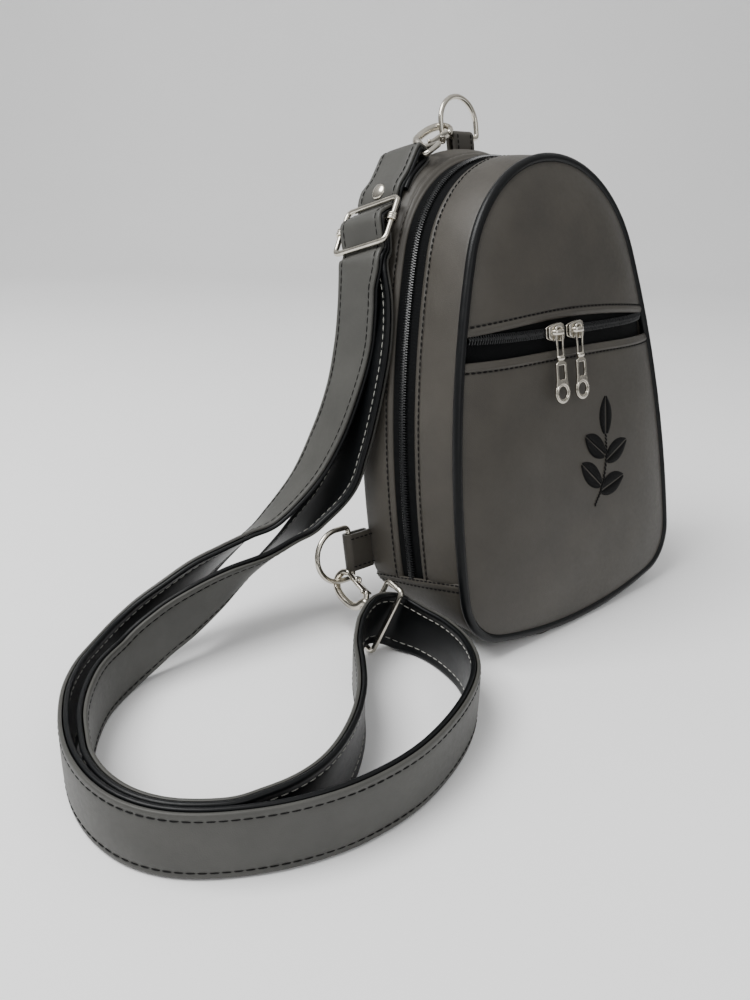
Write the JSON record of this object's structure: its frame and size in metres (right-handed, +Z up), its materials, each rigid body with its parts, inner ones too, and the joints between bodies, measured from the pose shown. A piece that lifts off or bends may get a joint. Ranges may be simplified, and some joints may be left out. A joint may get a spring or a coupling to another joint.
{
  "type": "sling bag",
  "caption": "Small upright leatherette sling bag with a zipped body, a zipped front pocket, ring tabs and a clip-on adjustable shoulder strap.",
  "frame": {"origin": "middle of the flat base, on the surface the bag stands on", "axes": "+Z up; the front with the pocket faces -Y; +X is to the right seen from the front, the strap lies towards -X"},
  "size_m": [0.3897, 0.2036, 0.2815],
  "materials": {
    "leather": "fine-grained satin leatherette",
    "strap_grey": "satin leatherette",
    "black_leather": "satin leatherette",
    "lining": "woven lining",
    "tape": "woven zip tape",
    "coil": "nylon coil",
    "nickel": "polished nickel plating"
  },
  "bodies": {
    "back": {"back_gusset": "leather", "back_panel": "leather", "back_lining": "lining", "base_gusset": "leather", "main_zip_tape_back": "tape", "main_zip_coil_back": "coil", "top_tab": "leather", "lower_tab": "leather", "strap_face": "strap_grey", "strap_lining": "black_leather", "strap_slider_frame": "nickel", "strap_slider_bar": "nickel", "top_hook_loop": "nickel", "top_hook_collar": "nickel", "lower_hook_loop": "nickel", "lower_hook_collar": "nickel"},
    "front": {"front_gusset": "leather", "front_panel_lower": "leather", "front_panel_upper": "leather", "front_piping": "black_leather", "main_zip_tape_front": "tape", "main_zip_coil_front": "coil", "pocket_lining": "lining", "pocket_zip_tape_lower": "tape", "pocket_zip_tape_upper": "tape", "pocket_zip_coil": "coil"},
    "pocket_left_runner": {"pocket_left_slider": "nickel"},
    "pocket_left_ring": {"pocket_left_link": "nickel"},
    "pocket_left_tab": {"pocket_left_pull": "nickel"},
    "pocket_right_runner": {"pocket_right_slider": "nickel"},
    "pocket_right_ring": {"pocket_right_link": "nickel"},
    "pocket_right_tab": {"pocket_right_pull": "nickel"},
    "main_runner": {"main_slider": "nickel"},
    "main_ring": {"main_link": "nickel"},
    "main_tab": {"main_pull": "nickel"},
    "top_d_ring": {"top_ring": "nickel"},
    "lower_d_ring": {"lower_ring": "nickel"},
    "top_hook": {"top_hook_jaw": "nickel"},
    "top_lever": {"top_hook_lever": "nickel"},
    "lower_hook": {"lower_hook_jaw": "nickel"},
    "lower_lever": {"lower_hook_lever": "nickel"}
  },
  "joints": [
    {"name": "front_opens", "type": "hinge", "parent": "back", "child": "front", "pos_m": [0, -0.03646, 0.0025], "axis": [1, 0, 0], "range_deg": [0, 50]},
    {"name": "pocket_left_runs", "type": "hinge", "parent": "front", "child": "pocket_left_runner", "pos_m": [0, 0.5904, 0.163], "axis": [0, 0, -1], "range_deg": [0, 3.5]},
    {"name": "pocket_left_link_swings", "type": "hinge", "parent": "pocket_left_runner", "child": "pocket_left_ring", "pos_m": [-0.02014, -0.0157, 0.16593], "axis": [-0.9994, 0.0333, 0], "range_deg": [0, 90]},
    {"name": "pocket_left_pull_swings", "type": "hinge", "parent": "pocket_left_ring", "child": "pocket_left_tab", "pos_m": [-0.02024, -0.01889, 0.15107], "axis": [-0.9994, 0.0333, 0], "range_deg": [0, 80]},
    {"name": "pocket_right_runs", "type": "hinge", "parent": "front", "child": "pocket_right_runner", "pos_m": [0, 0.5904, 0.163], "axis": [0, 0, 1], "range_deg": [0, 5.7]},
    {"name": "pocket_right_link_swings", "type": "hinge", "parent": "pocket_right_runner", "child": "pocket_right_ring", "pos_m": [-0.00352, -0.01575, 0.16593], "axis": [-1, 0.0058, 0], "range_deg": [0, 90]},
    {"name": "pocket_right_pull_swings", "type": "hinge", "parent": "pocket_right_ring", "child": "pocket_right_tab", "pos_m": [-0.00354, -0.01894, 0.15107], "axis": [-1, 0.0058, 0], "range_deg": [0, 80]},
    {"name": "main_slider_runs", "type": "hinge", "parent": "back", "child": "main_runner", "pos_m": [-0.39474, 0.01314, 0.049], "axis": [0, -0.9777, 0.2102], "range_deg": [0, 16]},
    {"name": "main_link_swings", "type": "hinge", "parent": "main_runner", "child": "main_ring", "pos_m": [0.09647, 0.01506, 0.05803], "axis": [-0.0032, -0.9777, 0.2102], "range_deg": [0, 90]},
    {"name": "main_pull_swings", "type": "hinge", "parent": "main_ring", "child": "main_tab", "pos_m": [0.09669, 0.01187, 0.04317], "axis": [-0.0032, -0.9777, 0.2102], "range_deg": [0, 80]},
    {"name": "top_ring_tips", "type": "hinge", "parent": "back", "child": "top_d_ring", "pos_m": [0.01, 0.092, 0.2578], "axis": [1, 0, 0], "range_deg": [0, 12]},
    {"name": "lower_ring_swings", "type": "hinge", "parent": "back", "child": "lower_d_ring", "pos_m": [-0.1055, 0.0458, 0.0406], "axis": [0, 0.2102, 0.9777], "range_deg": [0, 8]},
    {"name": "top_hook_swivels", "type": "hinge", "parent": "back", "child": "top_hook", "pos_m": [-0.02507, 0.08928, 0.25093], "axis": [0.8827, 0.149, 0.4457], "range_deg": [0, 6]},
    {"name": "top_lever_opens", "type": "hinge", "parent": "top_hook", "child": "top_lever", "pos_m": [-0.01995, 0.08609, 0.25218], "axis": [-0.3925, -0.2877, 0.8736], "range_deg": [0, 14], "stiffness_Nm_per_rad": 0.003, "springref_deg": -14.32},
    {"name": "lower_hook_swivels", "type": "hinge", "parent": "back", "child": "lower_hook", "pos_m": [-0.11457, 0.02003, 0.02215], "axis": [-0.0632, -0.9813, -0.182], "range_deg": [0, 10]},
    {"name": "lower_lever_opens", "type": "hinge", "parent": "lower_hook", "child": "lower_lever", "pos_m": [-0.11238, 0.02377, 0.02654], "axis": [-0.8834, -0.0299, 0.4677], "range_deg": [0, 14], "stiffness_Nm_per_rad": 0.003, "springref_deg": -14.32}
  ]
}
